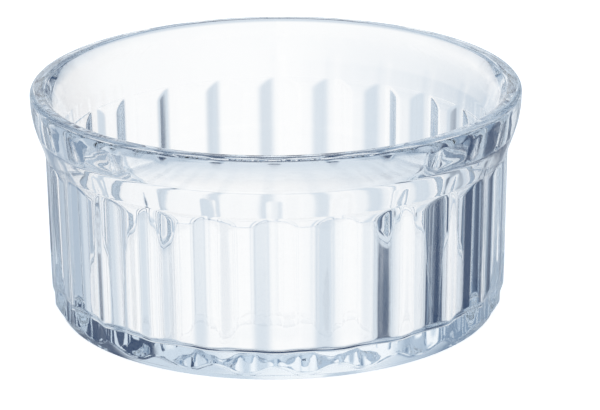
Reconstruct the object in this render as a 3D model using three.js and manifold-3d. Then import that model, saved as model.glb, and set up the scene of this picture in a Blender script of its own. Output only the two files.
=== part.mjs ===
// Creme brulee dish: a ramekin pressed from one piece of clear glass.
// Millimetres, +Z up. The origin is the middle of the standing ring, on the surface that the dish stands on.
// A rib faces +X.

import * as THREE from 'three';
import { mergeVertices } from 'three/addons/utils/BufferGeometryUtils.js';
import Module from 'manifold-3d';

// Overall sizes
const rimRadius = 50;
const dishHeight = 47;

// Rim: a convex band on a conical underside, with a rounded lip
const rimOverhang = 2.65;
const rimUndersideAngle = 19.5;
const rimBandRadius = 21;
const rimDepth = 12.8;
const lipWidth = 2.9;
const lipRounding = 1.3;

// Wall: outside it leans out by the draft, inside it is smooth
const outerDraft = 0.9;
const innerDraft = 1.1;
const wallThickness = 4.05;
const flareDepth = 8.2;
const shoulderFillet = 6;

// Floor and foot: the ribs run out on a foot that narrows to the table
const floorThickness = 4.6;
const floorFillet = 1.3;
const footHeight = 3.4;
const footInset = 1.97;
const footWaist = 0.4;
const footWaistHeight = 0.9;
const footRounding = 1;
const tableEdgeRounding = 0.3;
const standingRingWidth = 6;
const hollowDepth = 0.3;

// Ribs: broad waves, parted by narrow flat grooves
const ribCount = 24;
const ribWidth = 10;
const ribHeight = 1.08;

// Allowances inside the solid: below the table, and under the grooves
const trimLength = 2;
const rootDepth = 0.3;

// Fineness of the facets
const facetsPerRib = 4;
const stepsPerWave = 8;
const degreesPerArcStep = 30;

const radians = THREE.MathUtils.degToRad;

// Places that follow from the sizes above
const neckRadius = rimRadius - rimOverhang;
const neckHeight = dishHeight - rimDepth;
const wallLean = Math.tan(radians(outerDraft));
const rimLean = Math.tan(radians(rimUndersideAngle));
const rimBandCorner = neckHeight + rimOverhang / rimLean;
const lipInnerRadius = rimRadius - lipWidth;
const shoulderRadius = neckRadius - wallThickness;
const shoulderHeight = dishHeight - flareDepth;
const floorRadius = shoulderRadius - (shoulderHeight - floorThickness) * Math.tan(radians(innerDraft));
const crestBaseRadius = neckRadius - neckHeight * wallLean;
const toeRadius = crestBaseRadius + footHeight * wallLean;
const tableRadius = toeRadius - footInset;
const standingRingRadius = tableRadius - standingRingWidth;
const waistRadius = tableRadius + footWaist;
const footSlope = (toeRadius - waistRadius) / (footHeight - footWaistHeight);
const grooveTop = neckHeight - ribHeight / (rimLean - wallLean);
const ribTop = (neckHeight + shoulderHeight) / 2;
const grooveRadius = (height) => crestBaseRadius + height * wallLean - ribHeight;

const glass = new THREE.MeshStandardMaterial({
  color: 0xdfe8f4,
  roughness: 0.05,
  metalness: 0,
  transparent: true,
  opacity: 0.35,
});

const wasm = await Module();
wasm.setup();

// Rounds one corner of a profile: points on the arc that touches both of its sides.
function cornerArc(before, corner, after, fillet) {
  const back = before.clone().sub(corner).normalize();
  const on = after.clone().sub(corner).normalize();
  const halfAngle = Math.acos(THREE.MathUtils.clamp(back.dot(on), -1, 1)) / 2;
  const reach = fillet / Math.tan(halfAngle);
  const middle = back.clone().add(on).normalize();
  const centre = corner.clone().addScaledVector(middle, fillet / Math.sin(halfAngle));
  const start = corner.clone().addScaledVector(back, reach).sub(centre);
  const sweep = Math.PI - 2 * halfAngle;
  const turn = Math.sign(start.cross(middle.clone().negate()));
  const steps = Math.max(2, Math.ceil(THREE.MathUtils.radToDeg(sweep) / degreesPerArcStep));
  return Array.from({ length: steps + 1 }, (_, step) =>
    start.clone().rotateAround(new THREE.Vector2(), (turn * sweep * step) / steps).add(centre));
}

// A profile for a solid of revolution, from corners given as [radius, height, fillet].
function roundedProfile(corners) {
  const points = corners.map(([radius, height]) => new THREE.Vector2(radius, height));
  const profile = corners.flatMap(([, , fillet], i) =>
    fillet ? cornerArc(points[i - 1], points[i], points[i + 1], fillet) : [points[i]]);
  return profile.filter((point, i) => i === 0 || point.distanceTo(profile[i - 1]) > 1e-6);
}

// Revolves a profile about Z, with an edge of the facets at +X.
function revolve(corners) {
  return new THREE.LatheGeometry(roundedProfile(corners), ribCount * facetsPerRib).rotateX(Math.PI / 2);
}

// A closed geometry as a solid, with shared vertices merged and the slivers at the poles left out.
function toSolid(geometry) {
  geometry.deleteAttribute('normal');
  geometry.deleteAttribute('uv');
  const merged = mergeVertices(geometry, 1e-5);
  const index = merged.index.array;
  const triangles = [];
  for (let i = 0; i < index.length; i += 3) {
    const [a, b, c] = index.slice(i, i + 3);
    if (a !== b && b !== c && c !== a) triangles.push(a, b, c);
  }
  return new wasm.Manifold(new wasm.Mesh({
    numProp: 3,
    vertProperties: merged.attributes.position.array,
    triVerts: new Uint32Array(triangles),
  }));
}

// A solid as a geometry again.
function toGeometry(solid) {
  const { vertProperties, triVerts } = solid.getMesh();
  const geometry = new THREE.BufferGeometry();
  geometry.setAttribute('position', new THREE.BufferAttribute(vertProperties, 3));
  geometry.setIndex(new THREE.BufferAttribute(triVerts, 1));
  geometry.computeVertexNormals();
  return geometry;
}

// The dish without ribs and foot: the wall at the depth of the grooves, the rim and the smooth inside.
// It reaches below the table, where the foot is trimmed.
function plainDish() {
  return toSolid(revolve([
    [0, -trimLength],
    [grooveRadius(-trimLength), -trimLength],
    [grooveRadius(grooveTop), grooveTop],
    [rimRadius, rimBandCorner, rimBandRadius],
    [rimRadius, dishHeight, lipRounding],
    [lipInnerRadius, dishHeight, lipRounding],
    [shoulderRadius, shoulderHeight, shoulderFillet],
    [floorRadius, floorThickness, floorFillet],
    [0, floorThickness],
  ]));
}

// A point of a rib's section, at a distance along the round wall from the middle of the rib.
function onWall(radius, along) {
  return new THREE.Vector2(radius, 0).rotateAround(new THREE.Vector2(), along / toeRadius);
}

// One rib: a bar that leans with the wall and ends inside the rim. Its section is one wave of a cosine,
// and its root lies a little under the surface of the grooves.
function ribBar() {
  const rootRadius = crestBaseRadius - ribHeight - rootDepth;
  const rootHalf = ribWidth / 2 + rootDepth;
  const wave = Array.from({ length: stepsPerWave + 1 }, (_, step) => {
    const share = step / stepsPerWave;
    const drop = (ribHeight * (1 + Math.cos(2 * Math.PI * share))) / 2;
    return onWall(crestBaseRadius - drop, ribWidth * (share - 0.5));
  });
  const section = new THREE.Shape([onWall(rootRadius, -rootHalf), ...wave, onWall(rootRadius, rootHalf)]);
  const bar = new THREE.ExtrudeGeometry(section, { depth: trimLength + ribTop, bevelEnabled: false });
  return bar.translate(0, 0, -trimLength).rotateY(radians(outerDraft));
}

// What the foot leaves of the wall and ribs: it narrows to the table, with a slightly hollow underside.
function footTrim() {
  const top = dishHeight + trimLength;
  return toSolid(revolve([
    [0, hollowDepth],
    [standingRingRadius, 0],
    [tableRadius, 0, tableEdgeRounding],
    [waistRadius, footWaistHeight, footRounding],
    [waistRadius + (top - footWaistHeight) * footSlope, top],
    [0, top],
  ]));
}

function ribbedDish() {
  let dish = plainDish();
  for (let i = 0; i < ribCount; i += 1) {
    const turned = ribBar().rotateZ((2 * Math.PI * i) / ribCount);
    dish = dish.add(toSolid(turned));
  }
  return toGeometry(dish.intersect(footTrim()));
}

const dish = new THREE.Mesh(ribbedDish(), glass);
dish.name = 'fluted_glass_dish';

const cremeBruleeDish = new THREE.Group();
cremeBruleeDish.add(dish);

export default cremeBruleeDish;
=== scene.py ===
import math

import bpy
import numpy as np
from mathutils import Matrix, Vector


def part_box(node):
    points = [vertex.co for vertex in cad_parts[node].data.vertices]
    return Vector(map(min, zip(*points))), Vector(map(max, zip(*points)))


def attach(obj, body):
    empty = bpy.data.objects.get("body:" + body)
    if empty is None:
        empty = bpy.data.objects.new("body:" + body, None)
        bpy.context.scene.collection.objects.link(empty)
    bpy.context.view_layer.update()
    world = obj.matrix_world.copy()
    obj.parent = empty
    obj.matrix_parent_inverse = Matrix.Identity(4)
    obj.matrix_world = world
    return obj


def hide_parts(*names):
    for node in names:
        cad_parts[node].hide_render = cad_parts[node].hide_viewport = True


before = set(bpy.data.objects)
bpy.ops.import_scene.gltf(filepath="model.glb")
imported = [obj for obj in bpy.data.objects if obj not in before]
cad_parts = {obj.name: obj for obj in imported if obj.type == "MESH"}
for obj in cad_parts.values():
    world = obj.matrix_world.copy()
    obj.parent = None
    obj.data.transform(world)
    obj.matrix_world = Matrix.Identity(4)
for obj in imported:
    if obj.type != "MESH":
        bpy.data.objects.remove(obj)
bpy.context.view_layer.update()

bl_info = {
    "name": "Creme brulee dish",
    "version": (1, 0, 0),
    "blender": (4, 5, 0),
    "location": "View3D > Sidebar > Dish",
    "description": "Builds a ribbed ramekin of clear pressed glass and a plain white studio around it",
    "category": "Add Mesh",
}

NODE = "fluted_glass_dish"
DISH_LOW, DISH_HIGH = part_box(NODE)

# Fineness of the mesh: arcs in degrees, rows in metres, rings by number
ARC_STEP = 7.0
RUN_OUT_STEP = 5.0
FOOT_ROW = 0.00018
WALL_ROW = 0.0023
NECK_ROW = 0.00025
UNDERSIDE_RINGS = 12
FLOOR_RINGS = 8

# Fine rows: their start above the foot's rounding, their end over the foot, their reach above the neck
FIRST_FOOT_ROW = 0.00012
FOOT_ROWS_TOP = 0.005
NECK_ROWS = 0.004

# Heights between which the edges of the ribs turn from soft, at the foot, to crisp
SOFT_FOOT = (0.002, 0.008)

# Small parts of the shape
TABLE_EDGE_ROUNDING = 0.0003
LEVEL_FLOOR_SHARE = 0.9
SMALLEST_RADIUS = 1e-7

# Patches that the mould chilled: their size against the ripples', their detail and where they fade in
CHILL_SCALE = 0.4
CHILL_DETAIL = 4.0
CHILL_START = 0.5
CHILL_FULL = 0.75

# Ripples: their strength on the wall, where they calm down above the foot and return in the rim
CALM = (0.12, 0.12, 0.12)
CALM_FOOT_HEIGHTS = 2.0
RIPPLED_RIM_SHARE = 0.8

# Floor of the stage
TABLE_GAP = 0.00005
TABLE_REACH = 4.0
TABLE_ROUGHNESS = 0.9
TABLE_GLOW = 0.7

# Camera, and how often light may bounce in the glass
FRAME_WIDTH = 600
SENSOR_WIDTH = 36.0
NEAREST_SEEN = 0.01
LIGHT_BOUNCES = 24

WHITE = (1.0, 1.0, 1.0)
BLACK = (0.0, 0.0, 0.0)


def length(name, description, default):
    """A property in metres."""
    return bpy.props.FloatProperty(
        name=name, description=description, default=default, unit="LENGTH", precision=5)


def angle(name, description, degrees):
    """A property that shows as an angle, with its default given in degrees."""
    return bpy.props.FloatProperty(
        name=name, description=description, default=math.radians(degrees), subtype="ANGLE")


def factor(name, description, default, top=1.0):
    """A plain number from 0 up to its top."""
    return bpy.props.FloatProperty(
        name=name, description=description, default=default, min=0.0, max=top)


def colour(name, description, default):
    """A linear colour."""
    return bpy.props.FloatVectorProperty(
        name=name, description=description, default=default, subtype="COLOR", size=3, min=0.0, max=1.0)


class DishShape(bpy.types.PropertyGroup):
    """Sizes of the pressed glass dish."""
    rim_radius: length("Rim radius", "Half of the dish's width at the rim", DISH_HIGH.x)
    height: length("Height", "From the table to the top of the lip", DISH_HIGH.z)
    rim_overhang: length("Rim overhang", "How far the rim stands out from the ribs", 0.00265)
    rim_underside: angle("Rim underside", "Slope of the cone under the rim, from upright", 19.5)
    rim_band: length("Rim band", "Radius of the rim's bulging outside, in profile", 0.021)
    rim_depth: length("Rim depth", "From the lip down to where the cone meets the ribs", 0.0128)
    neck_softness: length("Neck softness", "Softness of the crease between the cone and the ribs", 0.0005)
    lip_width: length("Lip width", "Width of the top of the wall", 0.0029)
    lip_rounding: length("Lip rounding", "Rounding of the lip's two edges", 0.0013)
    outer_draft: angle("Outer draft", "How far the ribs lean out", 0.9)
    inner_draft: angle("Inner draft", "How far the inside leans out", 1.1)
    wall: length("Wall", "Thickness of the wall at the neck, over a rib", 0.00405)
    flare_depth: length("Flare depth", "From the lip down to where the inside stops widening", 0.0082)
    shoulder_fillet: length("Shoulder fillet", "Rounding where the flare meets the inside wall", 0.002)
    floor: length("Floor", "Thickness of the glass floor", 0.0046)
    floor_fillet: length("Floor fillet", "Rounding of the inside corner", 0.002)
    ribs: bpy.props.IntProperty(
        name="Ribs", description="Number of ribs round the wall", default=24, min=8, max=60)
    rib_width: length("Rib width", "Width of a rib at its root", 0.0091)
    rib_crest: length("Rib crest", "Width of the flat top of a rib", 0.0022)
    rib_height: length("Rib height", "How far a rib stands out from the grooves beside it", 0.00125)
    rib_softness: length("Rib softness", "Softness of the edges along a rib", 0.0003)
    foot_softness: length("Foot softness", "Softness of a rib's edges where it runs out on the foot", 0.0009)
    run_out: length("Run-out", "Height over which the grooves curve out to the neck", 0.0028)
    foot_inset: length("Foot inset", "How far the edge on the table lies behind the ribs", 0.00197)
    foot_waist: length("Foot waist", "How far the foot's edge stands out from its edge on the table", 0.0004)
    foot_waist_height: length("Foot waist height", "Height of the foot's edge rounding", 0.0009)
    foot_height: length("Foot height", "Height at which a rib's crest runs out on the foot", 0.0034)
    foot_rounding: length("Foot rounding", "Rounding of the foot's edge", 0.001)
    toe_softness: length("Toe softness", "Softness of the edge at the lower end of the ribs", 0.00025)
    ring_width: length("Standing ring", "Width of the ring that the dish stands on", 0.006)
    dome: length("Dome", "How far the middle of the underside lies above the table", 0.0003)
    columns: bpy.props.IntProperty(
        name="Columns", description="Columns of faces over a rib and its groove", default=24, min=8, max=40)


class GlassFinish(bpy.types.PropertyGroup):
    """Finish of the pressed glass."""
    tint: colour("Tint", "Colour that deep glass takes on", (0.80, 0.90, 0.98))
    depth: factor("Tint depth", "How strongly the tint gathers, per metre of glass", 6.0, 100.0)
    refraction: factor("Refraction", "Index of refraction", 1.5, 3.0)
    fire_polish: factor("Fire polish", "Roughness of the smoothest glass", 0.0)
    mould_mark: factor("Mould marks", "Roughness of the glass that the mould chilled most", 0.02)
    ripple_size: length("Ripple size", "Width of the waves that pressing leaves", 0.009)
    ripple: length("Ripple", "Height of the waves that pressing leaves", 0.00003)


class StudioLook(bpy.types.PropertyGroup):
    """Floor, surroundings and camera."""
    floor: colour("Floor", "Colour of the floor", (0.92, 0.92, 0.92))
    white: colour("White panel", "Colour of the panels that light the glass", (1.0, 1.0, 1.0))
    pale: colour("Pale edge", "Colour of the panels' shaded edges", (0.69, 0.76, 0.83))
    haze: colour("Haze", "Colour of the light gaps between the panels", (0.48, 0.57, 0.67))
    dusk: colour("Dusk", "Colour of the shaded gaps between the panels", (0.22, 0.31, 0.43))
    slate: colour("Slate", "Colour of the dark gaps between the panels", (0.03, 0.06, 0.13))
    camera_distance: length("Camera distance", "From the dish's base to the camera", 0.665)
    camera_elevation: angle("Camera elevation", "Height of the camera above the dish's base", 20.8)
    camera_azimuth: angle("Camera azimuth", "Turn of the camera about the dish", 0.6)
    camera_roll: angle("Camera roll", "Turn of the camera about its own axis", -0.47)
    view_right: length("View right", "How far right of the dish's axis the camera aims", 0.00477)
    view_up: length("View up", "How far above the dish's base the camera aims, across the view", 0.01933)
    pixels_per_radius: factor("Pixels per radius", "Size of the rim's radius in the frame", 240.0, 600.0)


def filleted(corners):
    """Points of a profile from corners given as (radius, height, fillet), with arcs at the fillets."""
    points = [Vector(corner[:2]) for corner in corners]
    profile = []
    for index, corner in enumerate(corners):
        if corner[2] <= 0.0:
            profile.append(points[index])
            continue
        back = (points[index - 1] - points[index]).normalized()
        on = (points[index + 1] - points[index]).normalized()
        half = back.angle(on) / 2.0
        middle = (back + on).normalized()
        centre = points[index] + middle * corner[2] / math.sin(half)
        spoke = points[index] + back * corner[2] / math.tan(half) - centre
        sweep = math.pi - 2.0 * half
        turn = math.copysign(sweep, spoke.cross(-middle))
        steps = max(3, math.ceil(math.degrees(sweep) / ARC_STEP))
        for i in range(steps + 1):
            spot = spoke.copy()
            spot.rotate(Matrix.Rotation(turn * i / steps, 2))
            profile.append(centre + spot)
    return np.array([tuple(point) for point in profile])


def soft_max(a, b, softness):
    """The larger of two values, with the crease between them rounded over the given width."""
    near = np.maximum(softness - np.abs(a - b), 0.0) / softness
    return np.maximum(a, b) + softness * near ** 3 / 6.0


def soft_min(a, b, softness):
    """The smaller of two values, with the crease between them rounded over the given width."""
    return -soft_max(-a, -b, softness)


def rows_between(low, high, step):
    """Evenly spaced heights from low up to, but not including, high."""
    return list(np.linspace(low, high, max(1, round((high - low) / step)), endpoint=False))


def dish_rings(shape):
    """Rings of points from the middle of the underside, up the outside, to the middle of the inside.

    Gives the angles of the points, and for each ring their radii and its height.
    """
    neck_radius = shape.rim_radius - shape.rim_overhang
    neck_height = shape.height - shape.rim_depth
    lean = math.tan(shape.outer_draft)
    slope = math.tan(shape.rim_underside)
    toe_radius = neck_radius - (neck_height - shape.foot_height) * lean
    table_radius = toe_radius - shape.foot_inset
    ring_radius = table_radius - shape.ring_width
    waist_radius = table_radius + shape.foot_waist
    shoulder_radius = neck_radius - shape.wall
    shoulder_height = shape.height - shape.flare_depth
    floor_radius = shoulder_radius - (shoulder_height - shape.floor) * math.tan(shape.inner_draft)

    pitch = 2.0 * math.pi / shape.ribs
    around = np.arange(shape.ribs * shape.columns) * pitch / shape.columns - math.pi / 2.0
    from_rib = (np.arange(len(around)) * pitch / shape.columns + pitch / 2.0) % pitch - pitch / 2.0

    foot = filleted([
        (table_radius - 2.0 * TABLE_EDGE_ROUNDING, 0.0, 0.0),
        (table_radius, 0.0, TABLE_EDGE_ROUNDING),
        (waist_radius, shape.foot_waist_height, shape.foot_rounding),
        (toe_radius, shape.foot_height, 0.0),
    ])
    foot_slope = (toe_radius - waist_radius) / (shape.foot_height - shape.foot_waist_height)
    rim = filleted([
        (neck_radius - neck_height * slope, 0.0, 0.0),
        (shape.rim_radius, neck_height + shape.rim_overhang / slope, shape.rim_band),
        (shape.rim_radius, shape.height, shape.lip_rounding),
        (shape.rim_radius - shape.lip_width, shape.height, shape.lip_rounding),
        (shoulder_radius, shoulder_height, shape.shoulder_fillet),
        (floor_radius, shape.floor, shape.floor_fillet),
        (0.0, shape.floor, 0.0),
    ])
    neck_top = neck_height + NECK_ROWS
    crown = int(np.argmax(rim[:, 1] > neck_top))
    outer_cone = rim[:crown + 1]

    from_edge = shape.rib_width / 2.0 - np.abs(from_rib * toe_radius)
    flank = from_edge * shape.rib_height / ((shape.rib_width - shape.rib_crest) / 2.0)

    def outside(height, foot_limit):
        """Radii of one ring of the outside: ribs on the leaning wall, the cone above, the foot below."""
        crest = neck_radius - (neck_height - height) * lean
        cone = np.interp(height, outer_cone[:, 1], outer_cone[:, 0])
        gone = min(max((height - neck_height) / shape.run_out + 1.0, 0.0), 1.0)
        groove_end = shape.rib_height * gone * gone
        softness = np.interp(height, SOFT_FOOT, (shape.foot_softness, shape.rib_softness))
        rib = soft_min(soft_max(flank, 0.0, softness), shape.rib_height, softness)
        relief = soft_max(rib, groove_end, shape.rib_softness)
        wall = soft_max(crest, cone, shape.neck_softness) - shape.rib_height + relief
        return soft_min(wall, foot_limit, shape.toe_softness)

    rings = []
    for radius in np.linspace(0.0, ring_radius, UNDERSIDE_RINGS):
        height = shape.dome * math.cos(math.pi / 2.0 * radius / ring_radius) ** 2
        rings.append((np.full(len(around), radius), height))
    for radius, height in foot[:-1]:
        rings.append((outside(height, radius), height))
    heights = rows_between(foot[-2][1] + FIRST_FOOT_ROW, FOOT_ROWS_TOP, FOOT_ROW)
    heights += rows_between(FOOT_ROWS_TOP, neck_height - shape.run_out, WALL_ROW)
    closing = np.sin(np.radians(np.arange(0.0, 90.0, RUN_OUT_STEP)))
    heights += list(neck_height - shape.run_out * (1.0 - closing))
    heights += rows_between(neck_height, neck_top, NECK_ROW)
    for height in heights:
        foot_limit = waist_radius + (height - shape.foot_waist_height) * foot_slope
        rings.append((outside(height, foot_limit), height))
    level = np.linspace(floor_radius * LEVEL_FLOOR_SHARE, 0.0, FLOOR_RINGS)
    inside_middle = [(radius, shape.floor) for radius in level]
    for radius, height in [*rim[crown:-1], *inside_middle]:
        rings.append((np.full(len(around), radius), height))
    return around, rings


def mesh_of_rings(name, around, rings):
    """A closed mesh from rings of points, with a single point where a ring has no width."""
    points = []
    loops = []
    for radius, height in rings:
        if radius.max() < SMALLEST_RADIUS:
            loops.append([len(points)])
            points.append((0.0, 0.0, height))
            continue
        loops.append(range(len(points), len(points) + len(around)))
        points += zip(radius * np.cos(around), radius * np.sin(around), np.full(len(around), height))
    faces = []
    count = len(around)
    for low, high in zip(loops[:-1], loops[1:]):
        for i in range(count):
            j = (i + 1) % count
            if len(low) == 1:
                faces.append((low[0], high[j], high[i]))
            elif len(high) == 1:
                faces.append((low[i], low[j], high[0]))
            else:
                faces.append((low[i], low[j], high[j], high[i]))
    mesh = bpy.data.meshes.new(name)
    mesh.from_pydata(points, [], faces)
    mesh.shade_smooth()
    return mesh


def add_node(tree, kind, **settings):
    """A new node with the given settings."""
    node = tree.nodes.new(kind)
    for name, value in settings.items():
        setattr(node, name, value)
    return node


def add_ramp(tree, stops):
    """A new colour ramp with stops given as (position, colour)."""
    node = add_node(tree, "ShaderNodeValToRGB")
    elements = node.color_ramp.elements
    while len(elements) < len(stops):
        elements.new(1.0)
    for element, (position, tone) in zip(elements, stops):
        element.position = position
        element.color = (*tone, 1.0)
    return node


def clear_glass(finish, shape):
    """Clear soda glass: a cool tint with depth, ripples in the rim and foot, patches chilled by the mould."""
    material = bpy.data.materials.new("clear_glass")
    material.use_nodes = True
    tree = material.node_tree
    surface = tree.nodes["Principled BSDF"]
    surface.inputs["Base Color"].default_value = (*WHITE, 1.0)
    surface.inputs["Transmission Weight"].default_value = 1.0
    surface.inputs["IOR"].default_value = finish.refraction

    place = add_node(tree, "ShaderNodeTexCoord")
    chill = add_node(tree, "ShaderNodeTexNoise", noise_dimensions="3D")
    chill.inputs["Scale"].default_value = CHILL_SCALE / finish.ripple_size
    chill.inputs["Detail"].default_value = CHILL_DETAIL
    polish = add_node(tree, "ShaderNodeMapRange")
    polish.inputs["From Min"].default_value = CHILL_START
    polish.inputs["From Max"].default_value = CHILL_FULL
    polish.inputs["To Min"].default_value = finish.fire_polish
    polish.inputs["To Max"].default_value = finish.mould_mark
    tree.links.new(place.outputs["Object"], chill.inputs["Vector"])
    tree.links.new(chill.outputs["Fac"], polish.inputs["Value"])
    tree.links.new(polish.outputs["Result"], surface.inputs["Roughness"])

    waves = add_node(tree, "ShaderNodeTexNoise", noise_dimensions="3D")
    waves.inputs["Scale"].default_value = 1.0 / finish.ripple_size
    waves.inputs["Detail"].default_value = 1.0
    height = add_node(tree, "ShaderNodeSeparateXYZ")
    where = add_ramp(tree, [
        (0.0, WHITE),
        (shape.foot_height / shape.height, WHITE),
        (CALM_FOOT_HEIGHTS * shape.foot_height / shape.height, CALM),
        (1.0 - shape.rim_depth / shape.height, CALM),
        (1.0 - RIPPLED_RIM_SHARE * shape.rim_depth / shape.height, WHITE),
    ])
    share = add_node(tree, "ShaderNodeMath", operation="DIVIDE")
    share.inputs[1].default_value = shape.height
    swell = add_node(tree, "ShaderNodeMath", operation="MULTIPLY")
    ripple = add_node(tree, "ShaderNodeBump")
    ripple.inputs["Strength"].default_value = 1.0
    ripple.inputs["Distance"].default_value = finish.ripple
    tree.links.new(place.outputs["Object"], waves.inputs["Vector"])
    tree.links.new(place.outputs["Object"], height.inputs["Vector"])
    tree.links.new(height.outputs["Z"], share.inputs[0])
    tree.links.new(share.outputs["Value"], where.inputs["Fac"])
    tree.links.new(waves.outputs["Fac"], swell.inputs[0])
    tree.links.new(where.outputs["Color"], swell.inputs[1])
    tree.links.new(swell.outputs["Value"], ripple.inputs["Height"])
    tree.links.new(ripple.outputs["Normal"], surface.inputs["Normal"])

    depth = add_node(tree, "ShaderNodeVolumeAbsorption")
    depth.inputs["Color"].default_value = (*finish.tint, 1.0)
    depth.inputs["Density"].default_value = finish.depth
    tree.links.new(depth.outputs["Volume"], tree.nodes["Material Output"].inputs["Volume"])
    return material


class DISH_OT_press(bpy.types.Operator):
    """Builds the glass dish in the place of its solid"""
    bl_idname = "dish.press"
    bl_label = "Press the dish"

    def execute(self, context):
        shape = context.scene.dish_shape
        around, rings = dish_rings(shape)
        mesh = mesh_of_rings("ribbed_dish", around, rings)
        mesh.materials.append(clear_glass(context.scene.dish_glass, shape))
        dish = bpy.data.objects.new("ribbed_dish", mesh)
        context.collection.objects.link(dish)
        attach(dish, "root")
        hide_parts(NODE)
        return {"FINISHED"}


def studio_world(studio):
    """Surroundings by direction: white panels with shaded gaps between them, plain white for the camera."""
    world = bpy.data.worlds.new("studio")
    world.use_nodes = True
    tree = world.node_tree
    background = tree.nodes["Background"]
    white, pale, haze, dusk, slate = (
        tuple(tone) for tone in (studio.white, studio.pale, studio.haze, studio.dusk, studio.slate))

    def turns(*stops):
        """Stops given in degrees about the dish: 0 lies behind it for the camera, 90 to the right."""
        return [(degrees / 360.0 + 0.5, tone) for degrees, tone in stops]

    def rises(*stops):
        """Stops given in degrees above the horizon."""
        return [(math.sin(math.radians(degrees)) / 2.0 + 0.5, tone) for degrees, tone in stops]

    place = add_node(tree, "ShaderNodeTexCoord")
    axes = add_node(tree, "ShaderNodeSeparateXYZ")
    bearing = add_node(tree, "ShaderNodeMath", operation="ARCTAN2")
    turn = add_node(tree, "ShaderNodeMapRange")
    turn.inputs["From Min"].default_value = -math.pi
    turn.inputs["From Max"].default_value = math.pi
    rise = add_node(tree, "ShaderNodeMapRange")
    rise.inputs["From Min"].default_value = -1.0
    low = add_ramp(tree, turns(
        (-180, white), (-140, white), (-125, pale), (-112, haze), (-104, pale), (-96, white), (-88, white),
        (-80, pale), (-56, pale), (-44, haze), (-28, haze), (-22, pale), (-16.5, white), (-1, white),
        (12, pale), (16.3, pale), (17, slate), (22, slate), (28, dusk), (38, slate), (84, slate),
        (92, haze), (100, white), (112, pale), (125, haze), (140, white)))
    high = add_ramp(tree, turns(
        (-180, white), (-150, pale), (-125, haze), (-100, haze), (-82, dusk), (-31, dusk),
        (-26, haze), (-21, pale), (-17, white), (-1, white), (13, pale), (19, pale), (23, slate), (52, slate),
        (66, dusk), (80, haze), (112, haze), (150, pale)))
    ends = add_ramp(tree, turns(
        (-180, white), (-120, pale), (-75, haze), (-18, haze), (-13, pale), (13, pale), (18, haze),
        (28, dusk), (60, dusk), (75, haze), (120, pale)))
    below = add_ramp(tree, rises((-90, WHITE), (-70, WHITE), (-60, BLACK)))
    horizon = add_ramp(tree, rises((-20.8, BLACK), (-19.8, WHITE)))
    plain = add_ramp(tree, rises((-42, WHITE), (-29, BLACK), (32, BLACK), (45, WHITE)))
    walls = add_node(tree, "ShaderNodeMix", data_type="RGBA")
    room = add_node(tree, "ShaderNodeMix", data_type="RGBA")
    around = add_node(tree, "ShaderNodeMix", data_type="RGBA")
    around.inputs["B"].default_value = (*slate, 1.0)
    seen = add_node(tree, "ShaderNodeMix", data_type="RGBA")
    seen.inputs["B"].default_value = (*WHITE, 1.0)
    path = add_node(tree, "ShaderNodeLightPath")

    tree.links.new(place.outputs["Generated"], axes.inputs["Vector"])
    tree.links.new(axes.outputs["X"], bearing.inputs[0])
    tree.links.new(axes.outputs["Y"], bearing.inputs[1])
    tree.links.new(bearing.outputs["Value"], turn.inputs["Value"])
    tree.links.new(axes.outputs["Z"], rise.inputs["Value"])
    for ramp in (low, high, ends):
        tree.links.new(turn.outputs["Result"], ramp.inputs["Fac"])
    for ramp in (horizon, plain, below):
        tree.links.new(rise.outputs["Result"], ramp.inputs["Fac"])
    tree.links.new(horizon.outputs["Color"], walls.inputs["Factor"])
    tree.links.new(low.outputs["Color"], walls.inputs["A"])
    tree.links.new(high.outputs["Color"], walls.inputs["B"])
    tree.links.new(plain.outputs["Color"], room.inputs["Factor"])
    tree.links.new(walls.outputs["Result"], room.inputs["A"])
    tree.links.new(ends.outputs["Color"], room.inputs["B"])
    tree.links.new(below.outputs["Color"], around.inputs["Factor"])
    tree.links.new(room.outputs["Result"], around.inputs["A"])
    tree.links.new(path.outputs["Is Camera Ray"], seen.inputs["Factor"])
    tree.links.new(around.outputs["Result"], seen.inputs["A"])
    tree.links.new(seen.outputs["Result"], background.inputs["Color"])
    return world


def pale_floor(studio):
    """Matt pale floor, with a glow that only the camera sees and that keeps it white."""
    material = bpy.data.materials.new("pale_floor")
    material.use_nodes = True
    tree = material.node_tree
    matt = tree.nodes["Principled BSDF"]
    matt.inputs["Base Color"].default_value = (*studio.floor, 1.0)
    matt.inputs["Roughness"].default_value = TABLE_ROUGHNESS
    matt.inputs["Emission Color"].default_value = (*WHITE, 1.0)
    path = add_node(tree, "ShaderNodeLightPath")
    glow = add_node(tree, "ShaderNodeMath", operation="MULTIPLY")
    glow.inputs[1].default_value = TABLE_GLOW
    tree.links.new(path.outputs["Is Camera Ray"], glow.inputs[0])
    tree.links.new(glow.outputs["Value"], matt.inputs["Emission Strength"])
    return material


def add_camera(context, studio):
    """The camera at the photograph's place: in front of the dish, looking down on it, with its framing."""
    elevation = studio.camera_elevation
    turn = Matrix.Rotation(studio.camera_azimuth, 3, "Z")
    ahead = turn @ Vector((0.0, math.cos(elevation), -math.sin(elevation)))
    right = turn @ Vector((1.0, 0.0, 0.0))
    up = right.cross(ahead)
    place = -ahead * studio.camera_distance
    look = right * studio.view_right + up * studio.view_up - place
    optics = bpy.data.cameras.new("camera")
    optics.sensor_width = SENSOR_WIDTH
    focal_pixels = studio.pixels_per_radius * studio.camera_distance / DISH_HIGH.x
    optics.lens = focal_pixels * SENSOR_WIDTH / FRAME_WIDTH
    optics.clip_start = NEAREST_SEEN
    camera = bpy.data.objects.new("camera", optics)
    context.collection.objects.link(camera)
    rolled = look.to_track_quat("-Z", "Y").to_matrix() @ Matrix.Rotation(studio.camera_roll, 3, "Z")
    camera.matrix_world = Matrix.Translation(place) @ rolled.to_4x4()
    context.scene.camera = camera


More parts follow.
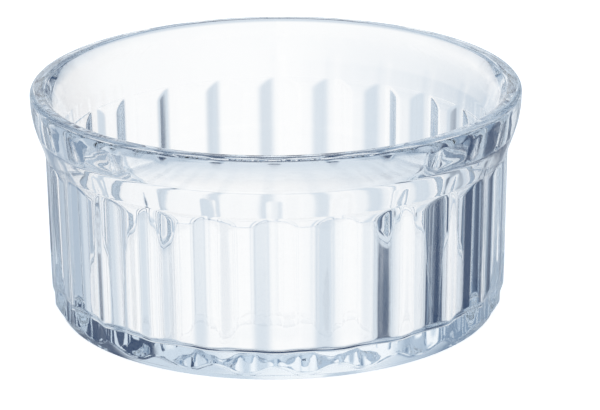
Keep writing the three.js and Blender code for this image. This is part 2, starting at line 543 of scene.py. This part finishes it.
class DISH_OT_stage(bpy.types.Operator):
    """Sets up the pale floor, the studio surroundings and the camera"""
    bl_idname = "dish.stage"
    bl_label = "Set the stage"

    def execute(self, context):
        studio = context.scene.dish_studio
        mesh = bpy.data.meshes.new("floor")
        corners = [(-1, -1), (1, -1), (1, 1), (-1, 1)]
        mesh.from_pydata([(x * TABLE_REACH, y * TABLE_REACH, 0.0) for x, y in corners], [], [(0, 1, 2, 3)])
        mesh.materials.append(pale_floor(studio))
        floor = bpy.data.objects.new("floor", mesh)
        floor.location.z = DISH_LOW.z - TABLE_GAP
        floor.visible_transmission = False
        context.collection.objects.link(floor)
        context.scene.world = studio_world(studio)
        add_camera(context, studio)
        context.scene.view_settings.view_transform = "Standard"
        context.scene.cycles.max_bounces = LIGHT_BOUNCES
        context.scene.cycles.transmission_bounces = LIGHT_BOUNCES
        context.scene.cycles.glossy_bounces = LIGHT_BOUNCES
        return {"FINISHED"}


class DISH_PT_panel(bpy.types.Panel):
    """Lists the dish's operators and its sizes, finish and studio"""
    bl_idname = "DISH_PT_panel"
    bl_label = "Creme brulee dish"
    bl_space_type = "VIEW_3D"
    bl_region_type = "UI"
    bl_category = "Dish"

    def draw(self, context):
        for operator in OPERATORS:
            self.layout.operator(operator.bl_idname)
        for store in STORES:
            group = getattr(context.scene, store)
            box = self.layout.box()
            for name in group.bl_rna.properties.keys():
                if name not in {"rna_type", "name"}:
                    box.prop(group, name)


OPERATORS = (DISH_OT_press, DISH_OT_stage)
STORES = {"dish_shape": DishShape, "dish_glass": GlassFinish, "dish_studio": StudioLook}


def register():
    for item in (*STORES.values(), *OPERATORS, DISH_PT_panel):
        bpy.utils.register_class(item)
    for name, group in STORES.items():
        setattr(bpy.types.Scene, name, bpy.props.PointerProperty(type=group))


def unregister():
    for name in STORES:
        delattr(bpy.types.Scene, name)
    for item in (DISH_PT_panel, *reversed(OPERATORS), *reversed(STORES.values())):
        bpy.utils.unregister_class(item)


def main():
    register()
    bpy.ops.dish.press()
    bpy.ops.dish.stage()


if __name__ == "__main__":
    main()
